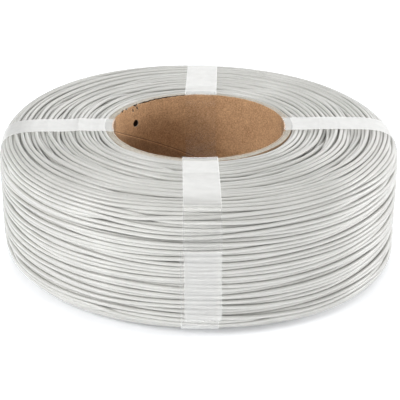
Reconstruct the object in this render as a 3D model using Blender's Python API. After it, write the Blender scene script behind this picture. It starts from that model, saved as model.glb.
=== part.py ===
"""A refill coil of 3D-printer filament, without a spool.

A paper core carries one long wound strand, and four clear tape bands are looped round the winding.
The coil stands on its flat side: +Z is its axis and the origin is the middle of its underside.
Blender units are metres.
"""

import math

import bmesh
import bpy

MM = 0.001
GAP = 0.3 * MM  # clearance between neighbouring pieces

# Tape film. The real film is about 0.05 mm thick.
FILM_WIDTH = 14.8 * MM
FILM_THICK = 0.2 * MM
FILM_LAP_GAP = 0.15 * MM  # between the two ends where they overlap
LAP_TOP = 15.5 * MM  # the inner end stops this far above the widest level
LAP_BOTTOM = -15.4 * MM  # the outer end stops this far below it
BAND_AZIMUTHS = {"front": -89.3, "right": 0.0, "back": 88.3, "left": 182.5}  # laid on by hand
BAND_COLUMNS = 4

# Paper core
BORE_RADIUS = 38.1 * MM  # three-inch tube
CORE_WALL = 3.0 * MM
LINER_WALL = 0.6 * MM
CORE_RECESS_TOP = 0.85 * MM  # below the crown of the winding
CORE_RECESS_BOTTOM = 0.9 * MM
ANCHOR_HOLE_RADIUS = 1.65 * MM  # takes the inner end of the strand
ANCHOR_AZIMUTH = 140.6
ANCHOR_DEPTH = 8.9 * MM  # below the upper rim

# Winding
WINDING_RADIUS = 88.1 * MM
HEIGHT_ABOVE_WIDEST = 33.9 * MM
HEIGHT_BELOW_WIDEST = 22.4 * MM
UPPER_ROUNDNESS = 8.2  # superellipse powers: a lower one rounds the shoulder more
LOWER_ROUNDNESS = 8.7
CROWN_RADIUS = 52.0 * MM  # the faces dip towards the core from here inwards
INNER_DROP = 1.3 * MM
FLAT_SHARE = 0.55  # of the winding's depth, flat out to here

WINDING_BOTTOM = FILM_THICK + GAP
WIDEST = WINDING_BOTTOM + HEIGHT_BELOW_WIDEST
WINDING_TOP = WIDEST + HEIGHT_ABOVE_WIDEST
CORE_RADIUS = BORE_RADIUS + CORE_WALL
WINDING_BORE = CORE_RADIUS + GAP
CORE_TOP = WINDING_TOP - CORE_RECESS_TOP
CORE_BOTTOM = WINDING_BOTTOM + CORE_RECESS_BOTTOM

SEGMENTS = 72
SHOULDER_STEPS = 10
DIP_STEPS = 4
CORNER_STEPS = 3
SHOULDER_END = math.radians(80)
SHARP_BEND = math.radians(30)

PAPER = ("kraft_paper", (0.40, 0.24, 0.13), 0.85)
LINER = ("liner_paper", (0.36, 0.21, 0.11), 0.85)
STRAND = ("filament", (0.69, 0.70, 0.67), 0.42)
FILM = ("clear_film", (0.86, 0.87, 0.87), 0.15)


def clear_scene():
    for item in list(bpy.data.objects):
        bpy.data.objects.remove(item, do_unlink=True)


def material(name, colour, roughness):
    made = bpy.data.materials.get(name) or bpy.data.materials.new(name)
    made.use_nodes = True
    shader = made.node_tree.nodes["Principled BSDF"]
    shader.inputs["Base Color"].default_value = (*colour, 1.0)
    shader.inputs["Roughness"].default_value = roughness
    shader.inputs["Metallic"].default_value = 0.0
    made.diffuse_color = (*colour, 1.0)
    return made


def add_object(name, mesh, look):
    """Link a mesh to the scene as one named object, outward facing and shaded smooth."""
    tidy = bmesh.new()
    tidy.from_mesh(mesh)
    bmesh.ops.recalc_face_normals(tidy, faces=tidy.faces)
    tidy.to_mesh(mesh)
    tidy.free()
    mesh.shade_smooth()
    mesh.set_sharp_from_angle(angle=math.radians(35))
    mesh.materials.append(material(*look))
    made = bpy.data.objects.new(name, mesh)
    bpy.context.scene.collection.objects.link(made)
    return made


def turned_mesh(name, outline):
    """The closed (radius, z) outline spun a full turn about Z."""
    mesh = bpy.data.meshes.new(name)
    work = bmesh.new()
    corners = [work.verts.new((radius, 0.0, z)) for radius, z in outline]
    edges = [work.edges.new(pair) for pair in zip(corners, corners[1:] + corners[:1])]
    bmesh.ops.spin(
        work,
        geom=corners + edges,
        cent=(0.0, 0.0, 0.0),
        axis=(0.0, 0.0, 1.0),
        angle=math.tau,
        steps=SEGMENTS,
        use_merge=True,
    )
    work.to_mesh(mesh)
    work.free()
    return mesh


def ring_outline(inner, outer):
    return [(inner, CORE_BOTTOM), (outer, CORE_BOTTOM), (outer, CORE_TOP), (inner, CORE_TOP)]


def shoulder(height, power):
    """A superellipse quarter from the widest level up to the flat: (radius, height) pairs."""
    depth = WINDING_RADIUS - CORE_RADIUS
    points = []
    for step in range(SHOULDER_STEPS + 1):
        angle = SHOULDER_END * step / SHOULDER_STEPS
        across = math.cos(angle) ** (2 / power)
        along = math.sin(angle) ** (2 / power)
        points.append((CORE_RADIUS + depth * across, height * along))
    points.append((CORE_RADIUS + depth * FLAT_SHARE, height))
    return points


def dip(height):
    """The inner part of a face, from the crown down to the core."""
    points = []
    for step in range(DIP_STEPS + 1):
        share = step / DIP_STEPS
        radius = CROWN_RADIUS + (WINDING_BORE - CROWN_RADIUS) * share
        points.append((radius, height - INNER_DROP * share**2))
    return points


def winding_outline():
    """Half section of the winding, from the lower inner corner out and round to the upper one."""
    upper = shoulder(HEIGHT_ABOVE_WIDEST, UPPER_ROUNDNESS) + dip(HEIGHT_ABOVE_WIDEST)
    lower = shoulder(HEIGHT_BELOW_WIDEST, LOWER_ROUNDNESS) + dip(HEIGHT_BELOW_WIDEST)
    below = [(radius, WIDEST - height) for radius, height in lower]
    above = [(radius, WIDEST + height) for radius, height in upper]
    return below[::-1] + above[1:]


def turn(a, b, c):
    """Positive where a, b, c turn left."""
    return (b[0] - a[0]) * (c[1] - a[1]) - (b[1] - a[1]) * (c[0] - a[0])


def convex_hull(points):
    """The convex hull of flat points, anticlockwise from the leftmost lowest one."""
    ordered = sorted(points)
    halves = []
    for run in (ordered, ordered[::-1]):
        chain = []
        for point in run:
            while len(chain) > 1 and turn(chain[-2], chain[-1], point) <= 0:
                chain.pop()
            chain.append(point)
        halves.append(chain[:-1])
    return halves[0] + halves[1]


def outer_side_point(hull, level):
    """Where the hull's outer side crosses a level, with the index it belongs at."""
    for index, (low, high) in enumerate(zip(hull, hull[1:] + hull[:1])):
        if low[1] < level <= high[1]:
            share = (level - low[1]) / (high[1] - low[1])
            return index + 1, (low[0] + (high[0] - low[0]) * share, level)


def film_outline():
    """What the film is stretched over: the hull of the section, anticlockwise.

    The film spans the hollow between the core's rim and the winding. Both its ends lie on the
    outer side, so the hull gets a point at each end's level.
    """
    hull = convex_hull(winding_outline() + ring_outline(BORE_RADIUS, CORE_RADIUS))
    for level in (WIDEST + LAP_TOP, WIDEST + LAP_BOTTOM):
        hull.insert(*outer_side_point(hull, level))
    return hull


def film_stations():
    """Places round the outline, clockwise from the inner end, each with its outward direction."""
    hull = film_outline()
    stations = []
    for index, here in enumerate(hull):
        before = hull[index - 1]
        after = hull[(index + 1) % len(hull)]
        start = math.atan2(here[1] - before[1], here[0] - before[0])
        bend = math.atan2(after[1] - here[1], after[0] - here[0]) - start
        bend = (bend + math.pi) % math.tau - math.pi
        fan = CORNER_STEPS if bend > SHARP_BEND else 1
        for step in range(fan):
            heading = start + bend * (step + 0.5) / fan
            stations.append((here, (math.sin(heading), -math.cos(heading))))
    places = [place for place, out in stations]
    inner_end = places.index(outer_side_point(hull, WIDEST + LAP_TOP)[1])
    return (stations[inner_end + 1 :] + stations[: inner_end + 1])[::-1]


def film_line():
    """The film from its inner end down, under, up the bore, over the top and down again.

    Each entry is a place, its outward direction and the lift of the film's middle off the outline.
    The outer end lies over the inner one, so the film steps out as it rounds the upper shoulder.
    """
    stations = film_stations()
    outer_end = [place[1] for place, out in stations].index(WIDEST + LAP_BOTTOM)
    inner_lift = GAP + FILM_THICK / 2
    step_out = FILM_THICK + FILM_LAP_GAP
    line = []
    for index, (place, out) in enumerate(stations + stations[: outer_end + 1]):
        going_over = index > outer_end and out[1] > 0 and place[0] > BORE_RADIUS
        lapping = index >= len(stations)
        share = 1.0 if lapping else (1.0 - out[1]) * going_over
        line.append((place, out, inner_lift + step_out * share))
    return line


def band_mesh(name):
    """One band: a strip along the film's line, bent across its width to the round of the coil."""
    mesh = bpy.data.meshes.new(name)
    work = bmesh.new()
    rows = []
    for place, out, lift in film_line():
        row = []
        for side in (-1, 1):
            height = lift + side * FILM_THICK / 2
            radius = place[0] + out[0] * height
            z = place[1] + out[1] * height
            for column in range(BAND_COLUMNS + 1)[::-side]:
                across = FILM_WIDTH * (column / BAND_COLUMNS - 0.5)
                along = math.sqrt(radius**2 - across**2)
                row.append(work.verts.new((along, across, z)))
        rows.append(row)
    around = len(rows[0])
    for near, far in zip(rows, rows[1:]):
        for index in range(around):
            following = (index + 1) % around
            work.faces.new((near[index], near[following], far[following], far[index]))
    for end in (rows[0], rows[-1]):
        for column in range(BAND_COLUMNS):
            mirrored = around - 1 - column
            work.faces.new((end[column], end[column + 1], end[mirrored - 1], end[mirrored]))
    work.to_mesh(mesh)
    work.free()
    return mesh


def cut_anchor_hole(walls):
    """Drill one hole outwards through every wall of the core."""
    mesh = bpy.data.meshes.new("anchor_drill")
    work = bmesh.new()
    bmesh.ops.create_cone(
        work,
        cap_ends=True,
        segments=20,
        radius1=ANCHOR_HOLE_RADIUS,
        radius2=ANCHOR_HOLE_RADIUS,
        depth=CORE_WALL * 3,
    )
    work.to_mesh(mesh)
    work.free()
    drill = bpy.data.objects.new("anchor_drill", mesh)
    bpy.context.scene.collection.objects.link(drill)
    azimuth = math.radians(ANCHOR_AZIMUTH)
    middle = BORE_RADIUS + CORE_WALL / 2
    drill.location = (
        middle * math.cos(azimuth),
        middle * math.sin(azimuth),
        CORE_TOP - ANCHOR_DEPTH,
    )
    drill.rotation_euler = (0.0, math.pi / 2, azimuth)
    drill.hide_render = True
    drill.display_type = "WIRE"
    for wall in walls:
        cut = wall.modifiers.new("anchor_hole", "BOOLEAN")
        cut.operation = "DIFFERENCE"
        cut.solver = "EXACT"
        cut.object = drill


def build_core():
    liner_outer = BORE_RADIUS + LINER_WALL
    body = turned_mesh("core_body", ring_outline(liner_outer + GAP, CORE_RADIUS))
    liner = turned_mesh("core_liner", ring_outline(BORE_RADIUS, liner_outer))
    walls = [add_object("core_body", body, PAPER), add_object("core_liner", liner, LINER)]
    cut_anchor_hole(walls)


def build_winding():
    add_object("filament_winding", turned_mesh("filament_winding", winding_outline()), STRAND)


def build_bands():
    for side, azimuth in BAND_AZIMUTHS.items():
        name = f"tape_band_{side}"
        band = add_object(name, band_mesh(name), FILM)
        band.rotation_euler = (0.0, 0.0, math.radians(azimuth))


def main():
    clear_scene()
    build_core()
    build_winding()
    build_bands()


main()
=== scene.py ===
"""Looks of the filament refill coil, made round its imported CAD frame. Units are metres.

The strand is wound turn by turn, the turns are then pressed together, and only the turns that
can be seen are meshed. The tape films are stretched over those turns.
"""

import math

import bmesh
import bpy
import numpy as np
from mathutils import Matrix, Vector


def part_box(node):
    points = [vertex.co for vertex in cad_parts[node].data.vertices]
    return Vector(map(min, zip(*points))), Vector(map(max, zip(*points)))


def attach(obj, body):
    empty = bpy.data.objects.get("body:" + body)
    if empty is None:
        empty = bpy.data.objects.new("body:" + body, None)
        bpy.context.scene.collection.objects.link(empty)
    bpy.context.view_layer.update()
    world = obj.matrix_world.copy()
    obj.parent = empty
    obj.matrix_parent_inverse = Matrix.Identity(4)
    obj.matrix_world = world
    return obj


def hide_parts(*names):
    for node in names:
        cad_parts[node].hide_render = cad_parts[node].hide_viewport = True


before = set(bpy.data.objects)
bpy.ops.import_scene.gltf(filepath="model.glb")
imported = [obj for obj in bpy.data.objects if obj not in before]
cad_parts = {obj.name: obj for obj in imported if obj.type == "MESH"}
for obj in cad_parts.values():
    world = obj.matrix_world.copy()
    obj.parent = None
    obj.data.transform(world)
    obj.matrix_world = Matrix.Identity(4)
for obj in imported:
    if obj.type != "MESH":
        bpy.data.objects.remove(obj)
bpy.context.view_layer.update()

MM = 0.001
TAU = math.tau
RNG = np.random.default_rng(3)

# -------------------- sizes from the frame
CORE_LOW, CORE_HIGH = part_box("core_body")
LINER_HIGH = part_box("core_liner")[1]
WOUND_LOW, WOUND_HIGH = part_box("filament_winding")

LINER_WALL = 0.6 * MM
CORE_RADIUS = CORE_HIGH.x
LINER_RADIUS = LINER_HIGH.x
BORE_RADIUS = LINER_RADIUS - LINER_WALL
CORE_TOP = CORE_HIGH.z
CORE_BOTTOM = CORE_LOW.z
COIL_RADIUS = WOUND_HIGH.x
COIL_TOP = WOUND_HIGH.z
COIL_BOTTOM = WOUND_LOW.z

# The winding's section is two superellipse quarters that meet at its widest level.
WIDEST = COIL_BOTTOM + 22.4 * MM
RISE = COIL_TOP - WIDEST
FALL = WIDEST - COIL_BOTTOM
UPPER_ROUNDNESS = 8.2  # the superellipse powers
LOWER_ROUNDNESS = 8.7
CROWN_RADIUS = 52 * MM  # the upper face dips from here inwards

STRAND = 1.71 * MM
SPACING = 1.78 * MM  # between the middles of touching turns
OVERFILL = 0.2 * MM  # how far the turns would stand proud if the coil's faces didn't hold them
STATIONS = 160  # places round one turn

FILM_WIDTH = 14.8 * MM
BAND_AZIMUTHS = {"front": -89.3, "right": 0.0, "back": 88.3, "left": 182.5}


def azimuths(count):
    """That many even steps round a circle, from 0."""
    return TAU * np.arange(count) / count


def angle_from(azimuth, centre):
    """Degrees from the centre, which is in degrees, to each azimuth: -180 to 180."""
    return (np.degrees(azimuth) - centre + 180) % 360 - 180


def swell(centre, width):
    """A smooth hill round the coil, 1 high, with its centre and width in degrees."""
    return np.exp(-((angle_from(azimuths(STATIONS), centre) / width) ** 2))


# The coil isn't quite even all round: its shoulders are squarer in one place, rounder in another.
OUTER = COIL_RADIUS + 0.5 * MM * swell(-27, 33)
HEIGHTS = (
    RISE + 0.3 * MM * np.cos(azimuths(STATIONS) - math.radians(135)),
    np.full(STATIONS, FALL),
)
POWERS = (
    UPPER_ROUNDNESS + 4.5 * swell(130, 35) - 1.2 * swell(20, 30),
    LOWER_ROUNDNESS + 22.0 * swell(-27, 33),
)


# -------------------- winding the strand
def inner_drop(radius):
    """How much lower the upper face lies near the core than on its crown."""
    share = np.clip((CROWN_RADIUS - radius) / (CROWN_RADIUS - CORE_RADIUS), 0, 1)
    return 0.5 * MM * share**2


def section_at(level, station):
    """Outer radius, height and power of the section's quarter that holds each strand."""
    upper = level >= 0
    height = np.where(upper, HEIGHTS[0][station], HEIGHTS[1][station])
    power = np.where(upper, POWERS[0][station], POWERS[1][station])
    return OUTER[station], height, power


def face_limit(radius, station, quarter):
    """How far from the widest level a strand's middle may lie at that radius."""
    share = (radius - CORE_RADIUS) / (OUTER[station] + 0.6 * MM - CORE_RADIUS)
    power = POWERS[quarter][station]
    height = HEIGHTS[quarter][station] + 0.3 * MM - SPACING / 2
    if quarter == 0:
        height = height - inner_drop(radius)
    return height * (1 - np.clip(share, 0, 0.995) ** power) ** (1 / power)


def lowest_seat(level, levels, radii, spacing):
    """The smallest radius at which a strand at that level clears the turns already laid."""
    apart = np.abs(level[None] - levels)
    reach = np.sqrt(np.maximum(spacing**2 - apart**2, 0))
    seats = np.where(apart < spacing, radii + reach, 0)
    return np.maximum(seats.max(0, initial=0), CORE_RADIUS + spacing / 2)


def steady(values):
    """Rounded to 0.1 micron, so that the last bits of a sum can't grow into another winding."""
    return np.round(values, 7)


def blurred(values):
    """Each value averaged with its neighbours, apart from the first and the last."""
    out = values.copy()
    out[1:-1] = 0.25 * values[:-2] + 0.5 * values[1:-1] + 0.25 * values[2:]
    return out


class Winder:
    """Lays turn after turn on the core, each one sliding into the grooves below it."""

    SPACING = 1.62 * MM  # laid a little tight, and eased to the real spacing afterwards
    PITCH = 1.03 * SPACING
    RECENT = 110  # turns that a new one can touch
    MOST = 1200
    TAIL = 10  # stations of the turn before that are laid again, to join on smoothly
    AHEAD = 24  # stations laid past the turn's end, so that its end lies true
    SLIDES = 10  # small steps down into the groove
    PROBE = 0.15 * MM  # how far to both sides the slope is felt
    SLIDE = 0.16 * MM  # how far a step goes on a slope of 1
    STEEPEST = 1.2
    PULL = 0.04  # share of the way back to the guide's line in each step

    def __init__(self):
        self.levels = np.full((self.MOST, STATIONS), 1.0)
        self.radii = np.zeros((self.MOST, STATIONS))
        self.count = 0
        self.rates = np.array([0.031, 0.083, 0.21, 0.47, 0.83, 1.31, 2.3])
        self.phases = RNG.uniform(0, TAU, len(self.rates))
        self.sways = np.array([0.10, 0.10, 0.14, 0.16, 0.16, 0.12, 0.07]) * 0.65 * MM
        self.grid = np.arange(-FALL + 1 * MM, RISE - 1 * MM, 0.9 * MM)

    def sway(self, turned):
        """How far the guide eye wanders from its even travel."""
        waves = np.sin(self.rates[:, None] * turned[None] + self.phases[:, None])
        return (self.sways[:, None] * waves).sum(0)

    def surface(self):
        """Mean radius of the wound surface at each level of the grid."""
        first = max(0, self.count - self.RECENT)
        levels = self.levels[first : self.count, ::8]
        radii = self.radii[first : self.count, ::8]
        apart = np.abs(self.grid[:, None, None] - levels[None])
        reach = np.sqrt(np.maximum(self.SPACING**2 - apart**2, 0))
        seats = np.where(apart < self.SPACING, radii[None] + reach, CORE_RADIUS)
        return seats.max(1).mean(1)

    def lay_turn(self, guide, advance, spread):
        """One turn: it starts on the guide's line and slides down into the nearest groove."""
        steps = np.arange(-self.TAIL, STATIONS + self.AHEAD)
        station = steps % STATIONS
        line = guide + advance * steps / STATIONS
        line = line * spread[int(guide < 0)][station]
        line = line + self.sway(TAU * (self.count + steps / STATIONS))
        first = max(0, self.count - self.RECENT)
        levels = self.levels[first : self.count][:, station]
        radii = self.radii[first : self.count][:, station]
        level = line.copy()
        for _ in range(self.SLIDES):
            below = lowest_seat(level - self.PROBE, levels, radii, self.SPACING)
            above = lowest_seat(level + self.PROBE, levels, radii, self.SPACING)
            slope = np.clip((above - below) / (2 * self.PROBE), -self.STEEPEST, self.STEEPEST)
            level = level - self.SLIDE * slope
            level += self.PULL * (line - level)
            level = steady(blurred(blurred(level)))
            if self.count:
                level[: self.TAIL] = self.levels[self.count - 1, -self.TAIL :]
            seat = lowest_seat(level, levels, radii, self.SPACING)
            low, high = -face_limit(seat, station, 1), face_limit(seat, station, 0)
            level = np.clip(level, low, high)
        level = steady(level)
        seat = lowest_seat(level, levels, radii, self.SPACING)
        radius = seat.copy()
        for _ in range(4):
            if self.count:
                radius[: self.TAIL] = self.radii[self.count - 1, -self.TAIL :]
            radius = np.maximum(seat, blurred(radius))
        kept = slice(self.TAIL, self.TAIL + STATIONS)
        self.levels[self.count] = level[kept]
        self.radii[self.count] = steady(radius[kept])
        self.count += 1

    def wind(self):
        """Fill the coil. The guide slows over low places and hurries over high ones."""
        guide = -FALL + STRAND
        heading = 1
        full = COIL_RADIUS - SPACING / 2
        mean = CORE_RADIUS + self.SPACING / 2
        while self.count < self.MOST:
            pitch = self.PITCH
            limits = [face_limit(mean, slice(None), quarter) for quarter in (0, 1)]
            high, low = limits[0].mean(), -limits[1].mean()
            spread = (limits[0] / high, limits[1] / -low)
            if self.count > 31:
                surface = self.surface()
                mean = surface[(self.grid > low) & (self.grid < high)].mean()
                places = guide + heading * np.array([0, 0.9, 1.8]) * MM
                ahead = np.interp(places, self.grid, surface).mean()
                pitch *= np.clip(1 + 0.5 * (ahead - mean) / self.SPACING, 0.72, 1.9)
            pitch = steady(pitch)
            self.lay_turn(guide, heading * pitch, spread)
            guide = steady(guide + heading * pitch)
            if low < guide < high:
                continue
            if mean > full - 0.6 * MM:
                break
            heading, guide = (-1, high - 0.2 * MM) if guide >= high else (1, low + 0.2 * MM)
            guide = steady(guide)
        return self.levels[: self.count], self.radii[: self.count]


def filled_out(levels, radii):
    """Stretch the turns outwards until their surface lies evenly at the coil's full radius."""
    grid = np.arange(-FALL + 4 * MM, RISE - 5 * MM, 1 * MM)
    surface = np.empty((STATIONS, len(grid)))
    for station in range(STATIONS):
        near = np.abs(grid[:, None] - levels[:, station]) < SPACING
        surface[station] = np.where(near, radii[:, station], CORE_RADIUS).max(1)
    for _ in range(40):
        surface = (np.roll(surface, 1, 0) + 2 * surface + np.roll(surface, -1, 0)) / 4
    for _ in range(10):
        surface[:, 1:-1] = (surface[:, :-2] + 2 * surface[:, 1:-1] + surface[:, 2:]) / 4
    full = OUTER + OVERFILL - SPACING / 2
    out = radii.copy()
    for station in range(STATIONS):
        local = np.interp(levels[:, station], grid, surface[station])
        stretch = (full[station] - CORE_RADIUS) / (local - CORE_RADIUS)
        out[:, station] = CORE_RADIUS + (radii[:, station] - CORE_RADIUS) * stretch
    return levels, steady(out)


def close_pairs(levels, radii, reach):
    """Index pairs of turns that pass within reach of each other at the same station."""
    first, second = [], []
    order = np.argsort(radii, axis=0)
    for station in range(STATIONS):
        turn = order[:, station]
        radius = radii[turn, station]
        level = levels[turn, station]
        step = 1
        while True:
            out = radius[step:] - radius[:-step]
            near = out < reach
            if not near.any():
                break
            near &= np.hypot(out, level[step:] - level[:-step]) < reach
            found = np.nonzero(near)[0]
            first.append(turn[found] * STATIONS + station)
            second.append(turn[found + step] * STATIONS + station)
            step += 1
    return np.concatenate(first), np.concatenate(second)


def face_relief(size):
    """How far each place on the strand is kept below the upper face, so that turns lie uneven."""
    turned = TAU * np.arange(size) / STATIONS
    wander = sum(np.sin(rate * turned + 7 * rate) for rate in (0.173, 0.391, 0.577, 0.913))
    loose = 1 + 0.9 * np.cos(turned) ** 2
    return 0.55 * MM * loose * (1 + np.clip(wander / 1.4, -1, 1))


def kept_inside(radius, level, station, relief):
    """Strand middles outside the coil's section are moved back onto its edge."""
    outer, height, power = section_at(level, station)
    depth = outer - SPACING / 2 - CORE_RADIUS
    height = height - SPACING / 2
    across = np.maximum(radius - CORE_RADIUS, 0) / depth
    along = np.abs(level) / height
    out = across**power + along**power > 1
    x, y, p, d, h = across[out], along[out], power[out], depth[out], height[out]
    for _ in range(3):
        size = (x**p + y**p) ** (1 / p)
        slope_x = (x / size) ** (p - 1) / d
        slope_y = (y / size) ** (p - 1) / h
        back = np.maximum(size - 1, 0) / (slope_x**2 + slope_y**2)
        x = np.maximum(x - back * slope_x / d, 0)
        y = np.maximum(y - back * slope_y / h, 0)
    radius, level = radius.copy(), level.copy()
    radius[out] = CORE_RADIUS + x * d
    level[out] = np.sign(level[out]) * y * h
    away = np.clip((radius - CORE_RADIUS - 2 * MM) / (5 * MM), 0, 1)
    top = HEIGHTS[0][station] - SPACING / 2 - inner_drop(radius) - relief * away
    return radius, np.minimum(level, top)


def stiffen(radius, level):
    """The strand is springy: the sharper a bend, the more it straightens itself."""
    bends = [0.5 * (v[:-2] + v[2:]) - v[1:-1] for v in (radius, level)]
    share = np.clip(np.hypot(*bends) / (0.08 * MM), 0.12, 0.9)
    for _ in range(3):
        share[1:-1] = np.maximum(share[1:-1], 0.9 * np.maximum(share[:-2], share[2:]))
    radius[1:-1] += share * bends[0]
    level[1:-1] += share * bends[1]


def untangle(radius, level):
    """Where turns have zigzagged round each other, lay them straight so that they part cleanly."""
    bends = [0.5 * (v[:-2] + v[2:]) - v[1:-1] for v in (radius, level)]
    sharp = np.zeros(radius.size)
    sharp[1:-1] = np.hypot(*bends) > 0.1 * MM
    sharp = np.convolve(sharp, np.ones(13), "same") > 0
    sharp[[0, -1]] = False
    place = np.arange(radius.size)
    for values in (radius, level):
        values[sharp] = np.interp(place[sharp], place[~sharp], values[~sharp])


EASING_ROUNDS = 70
UNTANGLE_EVERY = 14  # rounds
NEAR = 1.45 * SPACING  # turns that may come to touch before the next look
PUSH = 0.4  # share of the overlap that each turn is pushed back in a round


def eased(levels, radii):
    """Push touching turns apart to their real spacing, inside the coil's section."""
    shape = levels.shape
    size = levels.size
    station = np.arange(size) % STATIONS
    relief = face_relief(size)
    radius, level = kept_inside(radii.ravel(), levels.ravel(), station, relief)
    for done in range(EASING_ROUNDS):
        if done % UNTANGLE_EVERY == 0:
            if done:
                untangle(radius, level)
            radius, level = steady(radius), steady(level)
            near = close_pairs(level.reshape(shape), radius.reshape(shape), NEAR)
        a, b = near
        out, up = radius[b] - radius[a], level[b] - level[a]
        apart = np.hypot(out, up) + 1e-12
        tight = apart < SPACING
        a, b, out, up, apart = a[tight], b[tight], out[tight], up[tight], apart[tight]
        push = PUSH * (SPACING - apart) / apart
        for values, along in ((radius, out), (level, up)):
            values += np.bincount(b, push * along, size) - np.bincount(a, push * along, size)
        stiffen(radius, level)
        radius = np.maximum(radius, CORE_RADIUS + SPACING / 2)
        radius, level = kept_inside(radius, level, station, relief)
    return level.reshape(shape), radius.reshape(shape)


# -------------------- mesh helpers
def add_object(name, data):
    made = bpy.data.objects.new(name, data)
    bpy.context.scene.collection.objects.link(made)
    return made


def add_quads(name, points, quads, caps=()):
    """A mesh from arrays: points (n, 3), quads (m, 4) and a few many-sided caps."""
    mesh = bpy.data.meshes.new(name)
    sizes = np.concatenate([np.full(len(quads), 4), [len(c) for c in caps]]).astype(np.int32)
    corners = np.concatenate([quads.ravel(), *caps]).astype(np.int32)
    mesh.vertices.add(len(points))
    mesh.vertices.foreach_set("co", points.astype(np.float32).ravel())
    mesh.loops.add(len(corners))
    mesh.loops.foreach_set("vertex_index", corners)
    mesh.polygons.add(len(sizes))
    starts = np.concatenate([[0], np.cumsum(sizes)[:-1]]).astype(np.int32)
    mesh.polygons.foreach_set("loop_start", starts)
    mesh.update(calc_edges=True)
    mesh.shade_smooth()
    return add_object(name, mesh)


def turned_ring(name, loops):
    """A closed ring from section loops, an array (columns, rows, 2) of radius and level."""
    columns, rows = loops.shape[:2]
    azimuth = azimuths(columns)[:, None]
    x = loops[:, :, 0] * np.cos(azimuth)
    y = loops[:, :, 0] * np.sin(azimuth)
    points = np.stack([x, y, loops[:, :, 1] + WIDEST], -1).reshape(-1, 3)
    column = np.arange(columns)[:, None]
    row = np.arange(rows)[None]
    here, beside = column * rows, (column + 1) % columns * rows
    after = (row + 1) % rows
    quads = np.stack([here + row, here + after, beside + after, beside + row], -1)
    return add_quads(name, points, quads.reshape(-1, 4))


def finish_piece(piece, looks, slot, *nodes):
    """Give a piece its looks and let it ride on the part's one body."""
    for look in looks:
        piece.data.materials.append(look)
    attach(piece, "root")
    if nodes:
        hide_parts(*nodes)


# -------------------- materials
def new_material(name):
    made = bpy.data.materials.new(name)
    made.use_nodes = True
    tree = made.node_tree
    return made, tree, tree.nodes["Principled BSDF"]


def noise(tree, scale, detail, roughness=0.55):
    """A noise texture in the object's own coordinates."""
    coords = tree.nodes.new("ShaderNodeTexCoord")
    texture = tree.nodes.new("ShaderNodeTexNoise")
    texture.inputs["Scale"].default_value = scale
    texture.inputs["Detail"].default_value = detail
    texture.inputs["Roughness"].default_value = roughness
    tree.links.new(coords.outputs["Object"], texture.inputs["Vector"])
    return texture.outputs["Fac"]


def ramp(tree, value, stops):
    """Colours picked by a value: stops are (position, (r, g, b))."""
    node = tree.nodes.new("ShaderNodeValToRGB")
    while len(node.color_ramp.elements) < len(stops):
        node.color_ramp.elements.new(0.5)
    for element, (position, colour) in zip(node.color_ramp.elements, stops):
        element.position = position
        element.color = (*colour, 1.0)
    tree.links.new(value, node.inputs["Fac"])
    return node.outputs["Color"]


def bump(tree, height, distance, strength):
    """A normal roughened by a height from 0 to 1, which stands for that distance."""
    node = tree.nodes.new("ShaderNodeBump")
    node.inputs["Distance"].default_value = distance
    node.inputs["Strength"].default_value = strength
    tree.links.new(height, node.inputs["Height"])
    return node.outputs["Normal"]


def mixed_value(tree, first, second, share):
    """Two values mixed, with that share of the second."""
    node = tree.nodes.new("ShaderNodeMix")
    node.data_type = "FLOAT"
    node.inputs[0].default_value = share
    tree.links.new(first, node.inputs[2])
    tree.links.new(second, node.inputs[3])
    return node.outputs[0]


def mapped(tree, value, low, high, to_low, to_high):
    """The value moved from the range low to high into the range to_low to to_high."""
    node = tree.nodes.new("ShaderNodeMapRange")
    ends = {"From Min": low, "From Max": high, "To Min": to_low, "To Max": to_high}
    for name, number in ends.items():
        node.inputs[name].default_value = number
    tree.links.new(value, node.inputs["Value"])
    return node.outputs["Result"]


def worked_out(tree, operation, *values):
    """A Math node's result. Its values are plain numbers or other nodes' outputs."""
    node = tree.nodes.new("ShaderNodeMath")
    node.operation = operation
    for socket, value in zip(node.inputs, values):
        if isinstance(value, float):
            socket.default_value = value
        else:
            tree.links.new(value, socket)
    return node.outputs[0]


def mixed_shaders(tree, share, first, second):
    node = tree.nodes.new("ShaderNodeMixShader")
    for socket, value in zip(node.inputs, (share, first, second)):
        tree.links.new(value, socket)
    return node.outputs[0]


def strand_material():
    """Light warm grey plastic with a satin skin."""
    made, tree, shader = new_material("filament_grey")
    tone = noise(tree, 60.0, 2.0)
    colour = ramp(tree, tone, [(0.3, (0.555, 0.552, 0.528)), (0.7, (0.60, 0.597, 0.572))])
    tree.links.new(colour, shader.inputs["Base Color"])
    shader.inputs["Roughness"].default_value = 0.27
    shader.inputs["IOR"].default_value = 1.5
    fine = noise(tree, 900.0, 2.0)
    tree.links.new(bump(tree, fine, 0.02 * MM, 0.3), shader.inputs["Normal"])
    return made


SEAM_AZIMUTH = 115.0  # where the inner ply's spiral seam is SEAM_LEVEL above the widest level
SEAM_LEVEL = 8.3 * MM
SEAM_CLIMB = 0.335 * MM  # for each degree round
SEAM_REACH = 2.0 * MM
SEAM_PAINTED_LIGHT = (  # painted light, from SEAM_REACH below the seam to as far above it: painted shade below, a painted highlight on the cut edge, a painted shadow above it
    (0.0, (0.72, 0.72, 0.72)),
    (0.40, (0.8, 0.8, 0.8)),
    (0.46, (1.35, 1.33, 1.32)),
    (0.51, (1.2, 1.2, 1.2)),
    (0.54, (0.4, 0.4, 0.4)),
    (0.62, (0.6, 0.6, 0.6)),
    (0.72, (1.0, 1.0, 1.0)),
)


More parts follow.
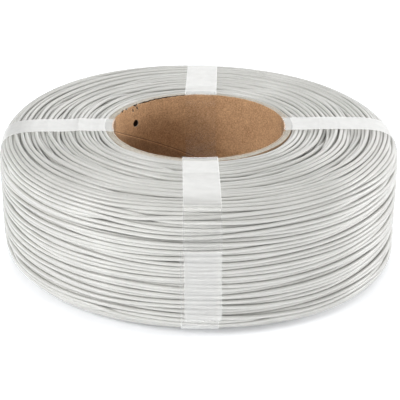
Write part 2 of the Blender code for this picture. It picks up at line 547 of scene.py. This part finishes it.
def seam_painted_light(tree):
    """Painted light across the spiral seam: a painted highlight on the ply's cut edge, a painted
    shadow just above it, and painted shade over the paper below the seam.
    """
    coords = tree.nodes.new("ShaderNodeTexCoord")
    turn = tree.nodes.new("ShaderNodeMapping")
    turn.inputs["Rotation"].default_value = (0.0, 0.0, math.radians(-SEAM_AZIMUTH))
    tree.links.new(coords.outputs["Object"], turn.inputs["Vector"])
    parts = tree.nodes.new("ShaderNodeSeparateXYZ")
    tree.links.new(turn.outputs["Vector"], parts.inputs[0])
    angle = worked_out(tree, "ARCTAN2", parts.outputs["Y"], parts.outputs["X"])
    fall = worked_out(tree, "MULTIPLY_ADD", angle, -SEAM_CLIMB * 360 / TAU, -SEAM_LEVEL - WIDEST)
    above = worked_out(tree, "ADD", parts.outputs["Z"], fall)
    return ramp(tree, mapped(tree, above, -SEAM_REACH, SEAM_REACH, 0.0, 1.0), SEAM_PAINTED_LIGHT)


def paper_material(name, dark, light, seam=False):
    """Speckled kraft paper. Along the inner ply's seam it also gets painted light: a painted
    highlight on the cut edge, a painted shadow beside it and painted shade below the seam.
    """
    made, tree, shader = new_material(name)
    fibres = noise(tree, 1500.0, 5.0, 0.8)
    patches = noise(tree, 150.0, 3.0)
    tone = mixed_value(tree, fibres, patches, 0.15)
    colour = ramp(tree, tone, [(0.37, dark), (0.63, light)])
    # painted light along the seam: its painted highlight, painted shadow and painted shade multiply
    # the paper's colour
    if seam:
        shade = tree.nodes.new("ShaderNodeMix")
        shade.data_type = "RGBA"
        shade.blend_type = "MULTIPLY"
        shade.inputs[0].default_value = 1.0
        tree.links.new(colour, shade.inputs[6])
        tree.links.new(seam_painted_light(tree), shade.inputs[7])
        colour = shade.outputs[2]
    tree.links.new(colour, shader.inputs["Base Color"])
    shader.inputs["Roughness"].default_value = 0.85
    shader.inputs["Specular IOR Level"].default_value = 0.25
    tree.links.new(bump(tree, fibres, 0.12 * MM, 0.6), shader.inputs["Normal"])
    return made


def film_material(name, veils, tone):
    """Clear glossy film: it mirrors, and a haze veils what lies under it, more so at a slant."""
    made, tree, haze = new_material(name)
    haze.inputs["Base Color"].default_value = (*tone, 1.0)
    haze.inputs["Roughness"].default_value = 0.4
    slant = tree.nodes.new("ShaderNodeLayerWeight")
    slant.inputs["Blend"].default_value = 0.5
    facing = slant.outputs["Facing"]
    mirrored = mapped(tree, worked_out(tree, "POWER", facing, 5.0), 0.0, 1.0, 0.04, 1.0)
    mirror = tree.nodes.new("ShaderNodeBsdfGlossy")
    mirror.inputs["Roughness"].default_value = 0.2
    clear = tree.nodes.new("ShaderNodeBsdfTransparent")
    through = mixed_shaders(tree, mirrored, clear.outputs[0], mirror.outputs[0])
    patchy = mapped(tree, noise(tree, 260.0, 3.0), 0.3, 0.7, 0.95, 1.05)
    veil = mapped(tree, facing, 0.15, 0.58, *veils)
    share = worked_out(tree, "MULTIPLY", veil, patchy)
    veiled = mixed_shaders(tree, share, through, haze.outputs[0])
    tree.links.new(veiled, tree.nodes["Material Output"].inputs["Surface"])
    return made


# -------------------- the strand
SIDES = 10
SECTION_STATIONS = 9900  # of strand in one piece
SEEN_DEPTH = 3.2 * STRAND  # turns deeper than this are left out


def depth_below_surface(level, radius):
    """Roughly how far a strand's middle lies inside the coil's section."""
    outer, height, power = section_at(level, np.arange(level.size) % STATIONS)
    depth = outer - CORE_RADIUS
    across = np.clip((radius - CORE_RADIUS) / depth, 0, 1)
    along = np.abs(level) / height
    size = (across**power + along**power) ** (1 / power)
    reach = np.minimum(depth * (1 - across), height * (1 - along))
    return np.minimum(reach, (1 - size) * np.minimum(depth, height))


def seen_runs(levels, radii):
    """Stretches of the strand near the surface, as (start, stop) along its whole length."""
    depth = depth_below_surface(levels.ravel(), radii.ravel())
    seen = depth < SEEN_DEPTH
    for _ in range(3):
        seen[1:-1] |= seen[:-2] | seen[2:]
    edges = np.flatnonzero(np.diff(np.concatenate([[0], seen.astype(int), [0]])))
    runs = []
    for start, stop in zip(edges[::2], edges[1::2]):
        while stop - start > SECTION_STATIONS:
            runs.append((start, start + SECTION_STATIONS))
            start += SECTION_STATIONS - 1
        if stop - start > 4:
            runs.append((start, stop))
    return runs


def tube_arrays(levels, radii, start, stop):
    """Points, quads and end caps of one stretch of strand."""
    along = np.arange(start, stop)
    azimuth = TAU * (along % STATIONS) / STATIONS
    turn = azimuths(SIDES)
    radius = radii[along][:, None] + STRAND / 2 * np.cos(turn)[None]
    level = levels[along][:, None] + STRAND / 2 * np.sin(turn)[None] + WIDEST
    x = radius * np.cos(azimuth)[:, None]
    y = radius * np.sin(azimuth)[:, None]
    points = np.stack([x, y, level], -1).reshape(-1, 3)
    row = np.arange(len(along) - 1)[:, None] * SIDES
    side = np.arange(SIDES)[None]
    following = (side + 1) % SIDES
    corners = [row + side, row + SIDES + side, row + SIDES + following, row + following]
    quads = np.stack(corners, -1).reshape(-1, 4)
    first = np.arange(SIDES)
    last = (len(along) - 1) * SIDES + np.arange(SIDES)[::-1]
    return points, quads, (first, last)


def build_strand(levels, radii, look):
    """The seen stretches of the one strand, gathered in a few pieces along its length."""
    flat_levels, flat_radii = levels.ravel(), radii.ravel()
    groups, size = [[]], 0
    for start, stop in seen_runs(levels, radii):
        if size + stop - start > SECTION_STATIONS and groups[-1]:
            groups.append([])
            size = 0
        groups[-1].append((start, stop))
        size += stop - start
    for number, group in enumerate(groups, 1):
        points, quads, caps, offset = [], [], [], 0
        for start, stop in group:
            p, q, c = tube_arrays(flat_levels, flat_radii, start, stop)
            points.append(p)
            quads.append(q + offset)
            caps += [ring + offset for ring in c]
            offset += len(p)
        name = f"strand_section_{number}"
        piece = add_quads(name, np.concatenate(points), np.concatenate(quads), caps)
        finish_piece(piece, [look], "filament", "filament_winding")


def build_inner_turns(look):
    """Deep turns that only show as dark gaps: one smooth ring a little under the surface."""
    inset = SEEN_DEPTH * 0.85
    depth = COIL_RADIUS - inset - CORE_RADIUS
    outline = []
    for height, power, sign in ((RISE, UPPER_ROUNDNESS, 1), (FALL, LOWER_ROUNDNESS, -1)):
        quarter = []
        for angle in np.radians(np.linspace(0, 89.5, 60)):
            across = math.cos(angle) ** (2 / power)
            along = math.sin(angle) ** (2 / power)
            quarter.append((CORE_RADIUS + depth * across, sign * (height - inset) * along))
        quarter.append((CORE_RADIUS + 0.4 * MM, quarter[-1][1]))
        outline.append(quarter)
    section = np.array(outline[0][:0:-1] + outline[1])
    piece = turned_ring("strand_deep_turns", np.broadcast_to(section, (STATIONS, *section.shape)))
    finish_piece(piece, [look], "filament")


# -------------------- the paper core
CORE_ROWS = 92
CORE_COLUMNS = 480
HOLE_AZIMUTH = 139.8
HOLE_LEVEL = 23.8 * MM
HOLE_RADIUS = 1.75 * MM
NICKS = (  # azimuth, level, height and width of each small cut, in degrees and millimetres
    (142.2, 30.8, 1.7, 0.9),
    (137.9, 31.1, 1.4, 1.0),
    (139.4, 31.9, 0.4, 1.2),
)
HOLLOWS = [(HOLE_AZIMUTH, HOLE_LEVEL / MM, 2.0)]  # azimuth, level and reach
HOLLOWS += [(azimuth, level, 0.6 + height / 2) for azimuth, level, height, width in NICKS]
PLY_RADIUS = LINER_RADIUS - 0.02 * MM  # the inner ply's outer side
PLY_STEP = 0.33 * MM  # the inner ply's step at its seam
BOARD_BORE = LINER_RADIUS + 0.03 * MM
BOARD_TOP = CORE_TOP - WIDEST
BOARD_BOTTOM = CORE_BOTTOM - WIDEST


def rough(azimuth, rates, height, seed):
    """A ragged line round the core: a few sines of whole rates, so that it closes."""
    local = np.random.default_rng(seed)
    phases = local.uniform(0, TAU, len(rates))
    sizes = local.uniform(0.4, 1.0, len(rates)) * height / math.sqrt(len(rates))
    waves = np.sin(np.outer(azimuth, rates) + phases)
    return (waves * sizes).sum(1)


def step_up(value, low, high):
    """0 up to low, 1 from high on, and a smooth rise between them."""
    share = np.clip((value - low) / (high - low), 0, 1)
    return share * share * (3 - 2 * share)


def seam_level(azimuth):
    """Level of the inner ply's spiral seam."""
    return SEAM_LEVEL + SEAM_CLIMB * angle_from(azimuth, SEAM_AZIMUTH)


def cut_by(piece, cutters):
    """Subtract the cutters from a piece for good, and remove them."""
    for cutter in cutters:
        change = piece.modifiers.new("cut", "BOOLEAN")
        change.operation = "DIFFERENCE"
        change.solver = "EXACT"
        change.object = cutter
    bpy.context.view_layer.update()
    done = piece.evaluated_get(bpy.context.evaluated_depsgraph_get())
    mesh = bpy.data.meshes.new_from_object(done)
    piece.modifiers.clear()
    old = piece.data
    piece.data = mesh
    bpy.data.meshes.remove(old)
    for cutter in cutters:
        bpy.data.objects.remove(cutter)


def radial_cutter(azimuth, level, outline, far):
    """A bar along one radius of the core, with the outline (sideways, up) as its section."""
    turn = math.radians(azimuth)
    out = np.array([math.cos(turn), math.sin(turn), 0.0])
    side = np.array([-math.sin(turn), math.cos(turn), 0.0])
    up = np.array([0.0, 0.0, 1.0])
    count = len(outline)
    points = []
    for reach in (BORE_RADIUS - 3 * MM, far):
        for across, above in outline:
            points.append(out * reach + side * across + up * (WIDEST + level + above))
    faces = [tuple(range(count))[::-1], tuple(range(count, 2 * count))]
    for k in range(count):
        m = (k + 1) % count
        faces.append((k, m, m + count, k + count))
    mesh = bpy.data.meshes.new("cutter")
    mesh.from_pydata(points, [], faces)
    return add_object("cutter", mesh)


def hole_outline():
    """The punched hole's slightly ragged outline."""
    outline = []
    for k in range(28):
        turn = TAU * k / 28
        radius = HOLE_RADIUS * (1 + 0.04 * math.sin(2 * turn + 0.6) + 0.03 * math.sin(5 * turn + 1))
        outline.append((radius * math.cos(turn), radius * math.sin(turn)))
    return outline


def core_cutters(far):
    """The hole that holds the strand's inner end, and small cuts at the torn rim."""
    made = [radial_cutter(HOLE_AZIMUTH, HOLE_LEVEL, hole_outline(), far)]
    for azimuth, level, height, width in NICKS:
        half, tall = width / 2 * MM, height / 2 * MM
        outline = [
            (-half, -tall),
            (half * 0.6, -tall * 1.1),
            (half, tall * 0.8),
            (-half * 0.5, tall),
        ]
        made.append(radial_cutter(azimuth, level * MM, outline, far))
    return made


PLAIN, CUT_EDGE, SHADOWED = range(3)  # the core's looks, in the order of its material slots


def paint_core(piece, first_dark):
    """Cut edges and rims get the edge look, and places deep in the hole and cuts the shadowed one."""
    torn = torn_drop(azimuths(720))[1] > 0.3
    for face in piece.data.polygons:
        x, y, z = face.center
        radius = math.hypot(x, y)
        level = z - WIDEST
        azimuth = math.degrees(math.atan2(y, x))
        on_outer_wall = radius > CORE_RADIUS - 0.02 * MM
        high = level > BOARD_TOP - (4.0 if on_outer_wall else 0.6) * MM
        rim_start = BORE_RADIUS + (0.45 if torn[round(azimuth * 2) % 720] else 0.25) * MM
        on_rim = radius > rim_start and face.normal.z > 0.4
        kind = CUT_EDGE if high and (on_rim or radius > LINER_RADIUS) else PLAIN
        for place, middle, reach in HOLLOWS:
            apart = ((azimuth - place + 180) % 360 - 180) * radius * TAU / 360
            if math.hypot(apart, level - middle * MM) > reach * MM:
                continue
            outward = (face.normal.x * x + face.normal.y * y) / radius
            if abs(outward) < 0.75 or radius > LINER_RADIUS + 0.1 * MM:
                kind = SHADOWED if radius > first_dark else CUT_EDGE
        face.material_index = kind


def torn_drop(azimuth):
    """How far the inner ply's torn edge lies below the rim, and where it is torn."""
    torn = angle_from(azimuth, 116)
    inside = step_up(torn, -19, -14) * (1 - step_up(torn, 16, 22))
    scraps = step_up(rough(azimuth, [17, 31, 53, 71], 1.0, 9), 0.05, 0.3)
    inside = np.maximum(inside, scraps * step_up(torn, 14, 20) * (1 - step_up(torn, 40, 46)))
    ragged = rough(azimuth, [37, 61, 83, 113], 0.16 * MM, 3)
    return np.maximum((0.5 + np.minimum(torn, 20) * 0.012) * MM + ragged, 0.15 * MM), inside


def ply_surface(azimuth, level):
    """Radius of the bore's wall: a step at the seam, slack waves and two lips."""
    below = seam_level(azimuth)[:, None] - level
    lapped = step_up(below, -0.3 * MM, 0.3 * MM) * np.exp(-np.maximum(below, 0) / (16 * MM))
    radius = BORE_RADIUS + PLY_STEP - PLY_STEP * lapped
    slack = rough(azimuth, [2, 3, 5], 0.10 * MM, 5)
    radius = radius + slack[:, None] * np.sin(40 * level + 1)
    side = angle_from(azimuth, 0)
    loose = step_up(side, -20, -8) * (1 - step_up(side, 4.6, 5.8))
    radius = radius - 0.5 * MM * loose[:, None] * step_up(level, 29.2 * MM, 30.0 * MM)
    sideways = angle_from(azimuth, HOLE_AZIMUTH) * BORE_RADIUS * TAU / 360
    from_hole = np.hypot(sideways[:, None], level - HOLE_LEVEL)
    radius = radius - 0.2 * MM * np.exp(-(((from_hole - 2.1 * MM) / (0.4 * MM)) ** 2))
    return radius + np.random.default_rng(6).normal(0, 0.004 * MM, radius.shape)


def build_inner_ply(looks):
    """The bore's own ply: spiral seam, torn edge at the back left and a loose lip."""
    azimuth = azimuths(CORE_COLUMNS)
    drop, inside = torn_drop(azimuth)
    uneven = np.minimum(rough(azimuth, [9, 23, 47], 0.08 * MM, 4), 0.05 * MM)
    top = BOARD_TOP - inside * drop + uneven
    share = np.linspace(0, 1, CORE_ROWS)
    level = BOARD_BOTTOM + (top[:, None] - BOARD_BOTTOM) * share[None]
    inner = np.stack([ply_surface(azimuth, level), level], -1)
    back = np.linspace(1, 0, 14)
    outer_level = BOARD_BOTTOM + (top[:, None] - 0.1 * MM - BOARD_BOTTOM) * back[None]
    outer = np.stack([np.full_like(outer_level, PLY_RADIUS), outer_level], -1)
    piece = turned_ring("core_inner_ply", np.concatenate([inner, outer], 1)[:, ::-1])
    cut_by(piece, core_cutters(LINER_RADIUS + 2 * MM))
    finish_piece(piece, looks, "liner_paper", "core_liner")
    paint_core(piece, BORE_RADIUS + 0.5 * MM)


def rim_rows(azimuth):
    """The upper rim's rows of radius and level: four ply edges, the first sunk where it is torn."""
    plies = np.linspace(BOARD_BORE, CORE_RADIUS, 5)
    drop, inside = torn_drop(azimuth)
    rows = []
    for number, (near, far) in enumerate(zip(plies[:-1], plies[1:])):
        height = rough(azimuth, [5, 11, 29, 67], 0.14 * MM, 20 + number)
        height = np.minimum(height, 0.1 * MM) - 0.12 * MM
        sunk = inside * (drop + 0.5 * MM) if number == 0 else 0.0
        for radius, sink in (
            (near + 0.05 * MM, 0.10 * MM),
            (near + 0.14 * MM, 0.02 * MM),
            ((near + far) / 2, 0.0),
            (far - 0.14 * MM, 0.02 * MM),
            (far - 0.05 * MM, 0.10 * MM),
        ):
            rows.append((np.full(CORE_COLUMNS, radius), height - sink - sunk))
        if number == 0:
            frayed = 0.22 * MM + rough(azimuth, [41, 67, 97], 0.12 * MM, 8)
            lip = -0.25 * MM * (1 - inside) - inside * (drop - frayed)
            rows.append((np.full(CORE_COLUMNS, far - 0.02 * MM), np.minimum(lip, height - 0.1 * MM)))
    return rows


def build_board(looks):
    """The core's body: glued plies whose edges show on both rims."""
    azimuth = azimuths(CORE_COLUMNS)
    rims = rim_rows(azimuth)
    top = [(radius, BOARD_TOP + height) for radius, height in rims]
    bottom = []
    for radius, height in rims:
        bottom.append((radius, BOARD_BOTTOM + 0.04 * MM - 0.5 * np.maximum(height, -0.2 * MM)))
    walls = (BOARD_TOP - BOARD_BOTTOM) * np.linspace(0.04, 0.96, 12)
    even = np.ones(CORE_COLUMNS)
    inside = [(BOARD_BORE * even, (BOARD_BOTTOM + wall) * even) for wall in walls]
    outside = [(CORE_RADIUS * even, (BOARD_TOP - wall) * even) for wall in walls]
    loops = np.array(inside + top + outside + bottom[::-1]).transpose(2, 0, 1)
    piece = turned_ring("core_board", loops[:, ::-1])
    cut_by(piece, core_cutters(CORE_RADIUS - 0.3 * MM))
    finish_piece(piece, looks, "kraft_paper", "core_body")
    paint_core(piece, LINER_RADIUS)
    torn = torn_drop(azimuth)[1] > 0.4
    for face in piece.data.polygons:
        x, y, z = face.center
        column = round(math.atan2(y, x) / TAU * CORE_COLUMNS) % CORE_COLUMNS
        on_first_ply = BOARD_BORE < math.hypot(x, y) < BOARD_BORE + 0.585 * MM
        if torn[column] and on_first_ply and z - WIDEST > BOARD_TOP - 2.5 * MM:
            face.material_index = SHADOWED


# -------------------- the tape films
FILM_STEP = 0.35 * MM  # between the film's rows of points
FILM_THICK = 0.06 * MM
FILM_CLEAR = 0.02 * MM  # between the film and what it lies on
SMOOTHING_ROUNDS = 300
FILM_EDGE = 0.28 * MM  # the column at each side that can curl
LAP_TOP = 15.5 * MM  # levels of a band's inner and outer ends
LAP_BOTTOM = -15.4 * MM
FILM_DRIFT = 1.6 * MM  # how far a band's two ends miss each other sideways
FILM_WAVES = (0.9, 1.7, 2.6, 4.1, 6.3, 8.8)
FILM_LOOKS = (  # name, share of haze seen square on and at a slant, and its colour
    ("film", (0.04, 0.77), (0.735, 0.737, 0.725)),
    ("film_doubled", (0.3, 0.74), (0.93, 0.93, 0.915)),
    ("film_on_paper", (0.02, 0.05), (0.45, 0.38, 0.3)),
    ("film_edge", (0.24, 0.8), (0.86, 0.865, 0.86)),
    ("film_on_rim", (0.3, 0.45), (0.52, 0.55, 0.56)),
    ("film_underside", (0.0, 0.02), (0.8, 0.8, 0.8)),
)
SINGLE, DOUBLED, ON_PAPER, FILM_SIDE, ON_RIM, UNDERSIDE = range(len(FILM_LOOKS))


def hull(points):
    """Convex hull, counter-clockwise."""
    points = sorted(set(points))

    def half(run):
        out = []
        for p in run:
            while len(out) > 1 and (
                (out[-1][0] - out[-2][0]) * (p[1] - out[-2][1])
                - (out[-1][1] - out[-2][1]) * (p[0] - out[-2][0])
            ) <= 0:
                out.pop()
            out.append(p)
        return out[:-1]

    return half(points) + half(points[::-1])


def taut_loop(station):
    """The closed line a taut film follows, clockwise, with its outward normals."""
    points = []
    for quarter, sign in ((0, 1), (1, -1)):
        height, power = HEIGHTS[quarter][station], POWERS[quarter][station]
        for turn in np.radians(np.linspace(0, 86, 90)):
            radius = CORE_RADIUS + (OUTER[station] - CORE_RADIUS) * math.cos(turn) ** (2 / power)
            points.append((float(radius), float(sign * height * math.sin(turn) ** (2 / power))))
    near = BORE_RADIUS - 0.06 * MM
    points += [(near, BOARD_TOP + 0.15 * MM), (near, BOARD_BOTTOM - 0.15 * MM)]
    corner = np.array(hull(points))[::-1]
    corner = np.concatenate([corner, corner[:1]])
    walked = np.concatenate([[0], np.cumsum(np.hypot(*np.diff(corner, axis=0).T))])
    count = int(walked[-1] / FILM_STEP)
    places = np.arange(count) * walked[-1] / count
    loop = np.stack([np.interp(places, walked, corner[:, k]) for k in (0, 1)], -1)
    ahead = np.roll(loop, -1, 0) - np.roll(loop, 1, 0)
    ahead = (np.roll(ahead, 1, 0) + 2 * ahead + np.roll(ahead, -1, 0)) / 4
    ahead /= np.hypot(ahead[:, 0], ahead[:, 1])[:, None]
    outward = np.stack([-ahead[:, 1], ahead[:, 0]], -1)
    start = np.argmin(np.hypot(loop[:, 0] - OUTER[station], loop[:, 1] - LAP_TOP))
    return np.roll(loop, -start, 0), np.roll(ahead, -start, 0), np.roll(outward, -start, 0)


def strands_at(levels, radii, azimuth, across):
    """Radius and level of every turn where it passes a film's column."""
    flat_radii, flat_levels = radii.ravel(), levels.ravel()
    count = len(levels)
    whole = (azimuth % 360) / 360 * STATIONS
    place = np.arange(count) * STATIONS + whole
    near = np.clip(place.astype(int), 0, flat_radii.size - 2)
    shift = np.arcsin(np.clip(across / flat_radii[near], -1, 1)) / TAU * STATIONS
    place = np.clip(place + shift, 0, flat_radii.size - 2.001)
    index = place.astype(int)
    share = place - index
    radius = flat_radii[index] * (1 - share) + flat_radii[index + 1] * share
    level = flat_levels[index] * (1 - share) + flat_levels[index + 1] * share
    return radius, level


def film_heights(loop, ahead, outward, levels, radii, azimuth, columns):
    """How far the film stands off its taut line: it rests on the turns and sags between them.

    In the bore it rises over the ply's loose lip, and under the coil it hangs down to the ground.
    """
    rest = np.empty((len(loop), len(columns)))
    for number, across in enumerate(columns):
        radius, level = strands_at(levels, radii, azimuth, across)
        away_r = radius[None] - loop[:, 0:1]
        away_z = level[None] - loop[:, 1:2]
        along = away_r * ahead[:, 0:1] + away_z * ahead[:, 1:2]
        above = away_r * outward[:, 0:1] + away_z * outward[:, 1:2]
        touch = np.abs(along) < STRAND / 2
        crest = above + np.sqrt(np.maximum((STRAND / 2) ** 2 - along**2, 0))
        rest[:, number] = np.where(touch & (above > -6 * MM), crest, -1.0).max(1)
    slack = 0.3 * MM * step_up(loop[:, 0], 43 * MM, 54 * MM)
    rest = np.maximum(rest, -slack[:, None])
    height = rest.copy()
    for _ in range(SMOOTHING_ROUNDS):
        height = (np.roll(height, 1, 0) + 2 * height + np.roll(height, -1, 0)) / 4
        height[:, 1:-1] = (height[:, :-2] + 6 * height[:, 1:-1] + height[:, 2:]) / 8
        height = np.maximum(height, rest)
    over_lip = (loop[:, 0] < BORE_RADIUS) * np.exp(-(((loop[:, 1] - 31 * MM) / (2.6 * MM)) ** 2))
    height += (0.33 * MM * over_lip)[:, None]
    under = (outward[:, 1] < -0.9) * step_up(loop[:, 0], 46 * MM, 56 * MM)
    under = under * (1 - step_up(loop[:, 0], 76 * MM, 82 * MM))
    height += (0.38 * MM * under)[:, None]
    return height


def film_lift(side, height, rows, columns):
    """How far each place of a band stands off its taut line, with slack waves and curled edges."""
    around = len(height)
    lapped = step_up(rows, around - 8, around + 1)
    lift = height[rows % around] + (FILM_CLEAR + lapped * (FILM_THICK + 2 * FILM_CLEAR))[:, None]
    local = np.random.default_rng(sum(map(ord, side)))
    phases = local.uniform(0, TAU, len(FILM_WAVES))
    for rate, phase in zip(FILM_WAVES, phases):
        slant = local.uniform(-1.5, 1.5) * columns[None] / MM / 3
        lift += 0.012 * MM * np.sin(rate * rows[:, None] * 0.05 + slant + phase)
    curl = 0.5 + 0.5 * np.sin(rows * 0.021 + phases[0]) * np.sin(rows * 0.047 + phases[1])
    at_side = np.abs(columns) > FILM_WIDTH / 2 - FILM_EDGE / 2
    return lift + 0.07 * MM * curl[:, None] * at_side[None]


def film_points(azimuth, line, lift, rows, columns):
    """The points of a band's outer skin, then of its inner skin."""
    spot = rows % len(line[0])
    loop, ahead, outward = (values[spot] for values in line)
    across = columns[None] + FILM_DRIFT * (rows[:, None] / rows[-1] - 0.5)
    along = np.zeros(lift.shape)
    along[[0, -1]] = np.where(np.arange(len(columns)) % 2 == 0, 0.25, -0.25) * MM  # toothed ends
    skins = []
    for out in (lift + FILM_THICK, lift):
        radius = loop[:, 0:1] + outward[:, 0:1] * out + ahead[:, 0:1] * along
        level = loop[:, 1:2] + outward[:, 1:2] * out + ahead[:, 1:2] * along
        turn = math.radians(azimuth) + np.arcsin(across / radius)
        skins.append(np.stack([radius * np.cos(turn), radius * np.sin(turn), level + WIDEST], -1))
    return np.concatenate([skin.reshape(-1, 3) for skin in skins])


def film_faces(count, width):
    """Quads of the outer skin, of the inner skin and of the thin sides between them."""
    row = np.arange(count - 1)[:, None] * width
    column = np.arange(width - 1)[None]
    corners = [row + column, row + column + 1, row + width + column + 1, row + width + column]
    outer = np.stack(corners, -1).reshape(-1, 4)
    inner = count * width
    sides = []
    for a in range(0, (count - 1) * width, width):
        b, c, d = a + width, a + width - 1, a + 2 * width - 1
        sides.append((a, b, b + inner, a + inner))
        sides.append((c, c + inner, d + inner, d))
    for a in range(width - 1):
        b = (count - 1) * width + a
        sides.append((a, a + inner, a + 1 + inner, a + 1))
        sides.append((b, b + 1, b + 1 + inner, b + inner))
    return outer, outer[:, ::-1] + inner, np.array(sides)


def film_kinds(loop, count, width):
    """Which look each quad of the outer skin has."""
    row = np.arange(count - 1)
    reach = loop[row % len(loop), 0]
    kind = np.where(row >= len(loop), DOUBLED, SINGLE)
    kind = np.where(reach < CORE_RADIUS + 0.3 * MM, ON_RIM, kind)
    kind = np.where(reach < BORE_RADIUS + 0.1 * MM, ON_PAPER, kind)
    kinds = np.tile(kind[:, None], width - 1)
    kinds[:, [0, -1]] = np.where(kind == ON_PAPER, ON_PAPER, FILM_SIDE)[:, None]
    return kinds.ravel()


def build_film(side, levels, radii, looks):
    """One band: from its inner end down the outer face, round through the bore and back."""
    azimuth = BAND_AZIMUTHS[side]
    line = taut_loop(round((azimuth % 360) / 360 * STATIONS) % STATIONS)
    loop = line[0]
    half = FILM_WIDTH / 2
    middle = np.linspace(-half + FILM_EDGE, half - FILM_EDGE, 23)
    columns = np.concatenate([[-half], middle, [half]])
    height = film_heights(*line, levels, radii, azimuth, columns)
    rows = np.arange(len(loop) + int(np.argmax(loop[:, 1] < LAP_BOTTOM)))
    lift = film_lift(side, height, rows, columns)
    points = film_points(azimuth, line, lift, rows, columns)
    outer, inner, sides = film_faces(*lift.shape)
    piece = add_quads(f"film_{side}", points, np.concatenate([outer, inner, sides])[:, ::-1])
    finish_piece(piece, looks, "clear_film", f"tape_band_{side}")
    hidden = np.full(len(inner), UNDERSIDE)
    kinds = [film_kinds(loop, *lift.shape), hidden, np.full(len(sides), FILM_SIDE)]
    piece.data.polygons.foreach_set("material_index", np.concatenate(kinds).astype(np.int32))
    piece.visible_shadow = False  # clear film lets the lamps' light through


# -------------------- the stage
LAMPS = (  # name, place, size and power of each softbox
    ("back_softbox", (0.5, 0.96, 0.56), (1.9, 0.9), 9.6),
    ("left_softbox", (-0.85, -0.43, 0.6), (0.5, 0.5), 8.1),
    ("right_softbox", (1.0, 0.12, 0.27), (0.5, 0.3), 5.3),
    ("low_right_softbox", (0.8, -0.95, 0.25), (0.5, 0.3), 1.7),
    ("front_softbox", (0.0, -1.3, 0.25), (1.2, 0.3), 3.9),
    ("top_softbox", (0.0, -0.01, 1.3), (0.6, 0.6), 3.7),
)
LAMP_AIM = Vector((0.0, 0.0, 0.03))


def build_stage():
    """A white floor that glows softly away from the coil, in a dim white world."""
    mesh = bpy.data.meshes.new("floor")
    work = bmesh.new()
    bmesh.ops.create_circle(work, cap_ends=True, segments=64, radius=4.0)
    work.to_mesh(mesh)
    work.free()
    floor = add_object("floor", mesh)
    made, tree, shader = new_material("floor_white")
    shader.inputs["Base Color"].default_value = (0.93, 0.94, 0.96, 1.0)
    shader.inputs["Roughness"].default_value = 0.9
    shader.inputs["Emission Color"].default_value = (0.97, 0.98, 1.0, 1.0)
    coords = tree.nodes.new("ShaderNodeTexCoord")
    away = tree.nodes.new("ShaderNodeVectorMath")
    away.operation = "LENGTH"
    tree.links.new(coords.outputs["Object"], away.inputs[0])
    glow = mapped(tree, away.outputs["Value"], 0.078, 0.1, 0.12, 0.36)
    tree.links.new(glow, shader.inputs["Emission Strength"])
    floor.data.materials.append(made)

    world = bpy.data.worlds.new("studio")
    bpy.context.scene.world = world
    world.use_nodes = True
    background = world.node_tree.nodes["Background"]
    background.inputs["Color"].default_value = (1.0, 1.0, 1.0, 1.0)
    background.inputs["Strength"].default_value = 0.2


def add_softbox(name, place, size, power):
    data = bpy.data.lights.new(name, "AREA")
    data.shape = "RECTANGLE"
    data.size, data.size_y = size
    data.energy = power
    lamp = add_object(name, data)
    lamp.location = place
    lamp.rotation_euler = (LAMP_AIM - Vector(place)).to_track_quat("-Z", "Y").to_euler()


def build_camera():
    """At the photograph's angle: 24.9 degrees above the level, half a metre away."""
    elevation = math.radians(24.89)
    distance = 0.5359
    data = bpy.data.cameras.new("camera")
    data.sensor_width = 36.0
    data.lens = 105.83
    data.shift_x, data.shift_y = 0.0035, -0.02
    camera = add_object("camera", data)
    back = Vector((0.0, -math.cos(elevation), math.sin(elevation)))
    camera.location = Vector((0.0, 0.0, WIDEST)) + back * distance
    camera.rotation_euler = (math.pi / 2 - elevation, 0.0, 0.0)
    bpy.context.scene.camera = camera
    bpy.context.scene.view_settings.view_transform = "Standard"


def main():
    """Camera, floor and lamps first, then the strand, the core and the films over both."""
    build_camera()
    build_stage()
    for lamp in LAMPS:
        add_softbox(*lamp)
    levels, radii = eased(*filled_out(*Winder().wind()))
    grey = strand_material()
    build_strand(levels, radii, grey)
    build_inner_turns(grey)
    # the inner ply's paper carries the seam's painted highlight, painted shadow and painted shade
    kraft = paper_material("kraft_ply", (0.29, 0.16, 0.078), (0.69, 0.43, 0.24), seam=True)
    board = paper_material("kraft_board", (0.28, 0.18, 0.11), (0.52, 0.36, 0.23))
    edge = paper_material("board_edge", (0.40, 0.36, 0.30), (0.64, 0.60, 0.53))
    shadowed = paper_material("shadowed_paper", (0.02, 0.012, 0.008), (0.06, 0.035, 0.02))
    build_inner_ply([kraft, edge, shadowed])
    build_board([board, edge, shadowed])
    looks = [film_material(*look) for look in FILM_LOOKS]
    for side in BAND_AZIMUTHS:
        build_film(side, levels, radii, looks)


main()
